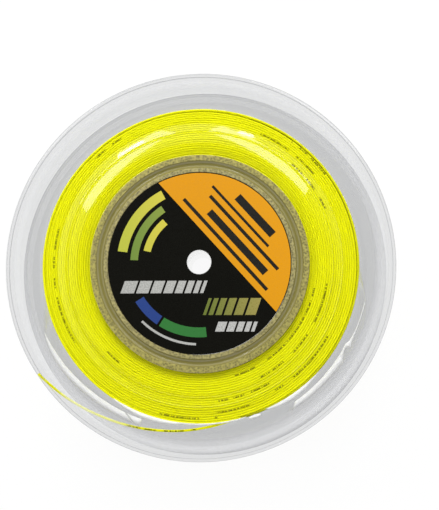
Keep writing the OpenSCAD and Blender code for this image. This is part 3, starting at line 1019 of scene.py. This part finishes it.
def addLabelPrint():
    materials = [
        inkMaterial("amberInk", (0.62, 0.262, 0.005), (0.65, 0.28, 0.006), (0, 45)),
        inkMaterial("darkInk", (0.012, 0.011, 0.008)),
        inkMaterial("silverInk", (0.50, 0.50, 0.47), (0.62, 0.62, 0.60), (-42, 40), 0.25, 0.3),
        inkMaterial("goldGreenInk", (0.16, 0.20, 0.04), (0.42, 0.34, 0.10), (4, 40), 0.28, 0.2),
        inkMaterial("blueInk", (0.020, 0.048, 0.20)),
        inkMaterial("greenInk", (0.030, 0.16, 0.035)),
        inkMaterial("limeInk", (0.42, 0.44, 0.05), (0.60, 0.50, 0.06), (-38, -8)),
        inkMaterial("leafInk", (0.13, 0.22, 0.04), (0.25, 0.30, 0.05), (-38, -8)),
    ]
    work = bmesh.new()
    low = label["top"]
    one = low + label["inkThick"]
    two = one + label["inkThick"]
    slab(work, fieldOutline(), low, one, 0)
    for stripe in fieldStripes:
        slab(work, stripeOutline(*stripe), one, two, 1)
    for slot, *values in barRows:
        for outline in slantedBars(*values):
            slab(work, outline, low, one, slot)
    for slot, *values in arcs:
        slab(work, arcOutline(*values), low, one, slot)
    mesh = bpy.data.meshes.new("labelPrint")
    work.to_mesh(mesh)
    work.free()
    made = addObject("labelPrint", mesh)
    for material in materials:
        mesh.materials.append(material)
    return made


def labelMaterial():
    material, tree = newMaterial("blackLabel")
    point = objectPoint(tree)
    fine = noiseOf(tree, point, 700.0, 3.0)
    slow = noiseOf(tree, point, 30.0, 2.0)
    bump = addNode(tree, "ShaderNodeBump", {"Strength": 0.15, "Distance": 0.05 * mm, "Height": fine})
    shader = addNode(tree, "ShaderNodeBsdfPrincipled", {
        "Base Color": mixColour(tree, slow, label["ground"], label["groundPale"]),
        "Roughness": mapRange(tree, fine, 0.3, 0.7, *label["roughness"]), "Normal": bump.outputs[0],
        "Specular IOR Level": label["specular"],
    })
    finishMaterial(tree, shader.outputs[0])
    return material


labelPrint = addLabelPrint()
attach(labelPrint, "root")
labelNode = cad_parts["front_label"]
labelNode.data.materials.clear()
labelNode.data.materials.append(labelMaterial())
print("label made")

studio = {
    "floorHalf": 3.0,
    "floorColour": (0.88, 0.88, 0.88, 1),
    "shadowShare": 0.06,
    "horizonStrength": 1.0,
    "zenithStrength": 0.03,
    "brightBelow": 45,
    "darkAbove": 72,
}
lamps = [
    {"name": "boxRight", "power": 0.95, "place": (0.199, 0.7065, 1.2), "size": (0.59, 0.152), "turn": 139.5},
    {"name": "boxLeft", "power": 1.0, "place": (-0.478, 0.673, 1.2), "size": (0.60, 0.16), "turn": 50.7},
    {"name": "tubeRight", "power": 0.16, "place": (0.152, 0.863, 1.19), "size": (0.09, 0.05), "turn": 161.5},
    {"name": "tubeLeft", "power": 0.30, "place": (-0.474, 0.79, 1.19), "size": (0.157, 0.055), "turn": 31},
    {"name": "key", "power": 5.8, "place": (-0.12, 0.74, 0.83), "size": (0.45, 0.45), "mirrored": False},
    {"name": "lowKey", "power": 5.6, "place": (-0.12, 0.97, 0.5), "size": (0.4, 0.4), "mirrored": False},
]


def addFloor():
    half = studio["floorHalf"]
    corners = [(-half, -half, 0), (half, -half, 0), (half, half, 0), (-half, half, 0)]
    made = addObject("floor", meshFrom("floor", corners, [(0, 1, 2, 3)]))
    material, tree = newMaterial("paleFloor")
    rays = addNode(tree, "ShaderNodeLightPath").outputs
    seen = maths(tree, "MAXIMUM", rays["Is Camera Ray"], maths(
        tree, "MAXIMUM", rays["Is Glossy Ray"], rays["Is Transmission Ray"]))
    plain = addNode(tree, "ShaderNodeBsdfDiffuse", {"Color": studio["floorColour"]})
    white = addNode(tree, "ShaderNodeEmission", {"Color": (1, 1, 1, 1), "Strength": 1.0})
    share = maths(tree, "MULTIPLY", seen, 1 - studio["shadowShare"])
    mixed = addNode(tree, "ShaderNodeMixShader", {0: share, 1: plain.outputs[0], 2: white.outputs[0]})
    # From below the floor doesn't hide the reel
    below = addNode(tree, "ShaderNodeNewGeometry").outputs["Backfacing"]
    unseen = addNode(tree, "ShaderNodeBsdfTransparent")
    sided = addNode(tree, "ShaderNodeMixShader", {0: below, 1: mixed.outputs[0], 2: unseen.outputs[0]})
    finishMaterial(tree, sided.outputs[0])
    made.data.materials.append(material)


def addLamp(values):
    # A lamp with a turn faces straight down, and one without faces the reel
    data = bpy.data.lights.new(values["name"], "AREA")
    data.shape = "RECTANGLE"
    data.size, data.size_y = values["size"]
    data.energy = values["power"]
    made = bpy.data.objects.new(values["name"], data)
    scene.collection.objects.link(made)
    made.location = values["place"]
    made.visible_glossy = values.get("mirrored", True)
    if "turn" in values:
        made.rotation_euler = (0, 0, math.radians(values["turn"]))
    else:
        made.rotation_mode = "QUATERNION"
        made.rotation_quaternion = Vector(values["place"]).to_track_quat("Z", "Y")


def addWorld():
    world = bpy.data.worlds.new("studio")
    scene.world = world
    world.use_nodes = True
    tree = world.node_tree
    tree.nodes.clear()
    # Bright low down, dark overhead, and white where the camera looks straight at it
    way = addNode(tree, "ShaderNodeTexCoord").outputs["Generated"]
    height = addNode(tree, "ShaderNodeSeparateXYZ", {0: way}).outputs[2]
    bright, dark = [math.sin(math.radians(studio[key])) for key in ("brightBelow", "darkAbove")]
    light = mapRange(
        tree, height, bright, dark, studio["horizonStrength"], studio["zenithStrength"], kind="SMOOTHSTEP")
    seen = addNode(tree, "ShaderNodeLightPath").outputs["Is Camera Ray"]
    strength = maths(tree, "ADD", maths(tree, "MULTIPLY", light, maths(tree, "SUBTRACT", 1.0, seen)), seen)
    sky = addNode(tree, "ShaderNodeBackground", {"Color": (1, 1, 1, 1), "Strength": strength})
    addNode(tree, "ShaderNodeOutputWorld", {"Surface": sky.outputs[0]})


addFloor()
for values in lamps:
    addLamp(values)
addWorld()
scene.view_settings.view_transform = "Standard"
scene.cycles.transparent_max_bounces = 32
print("studio made")
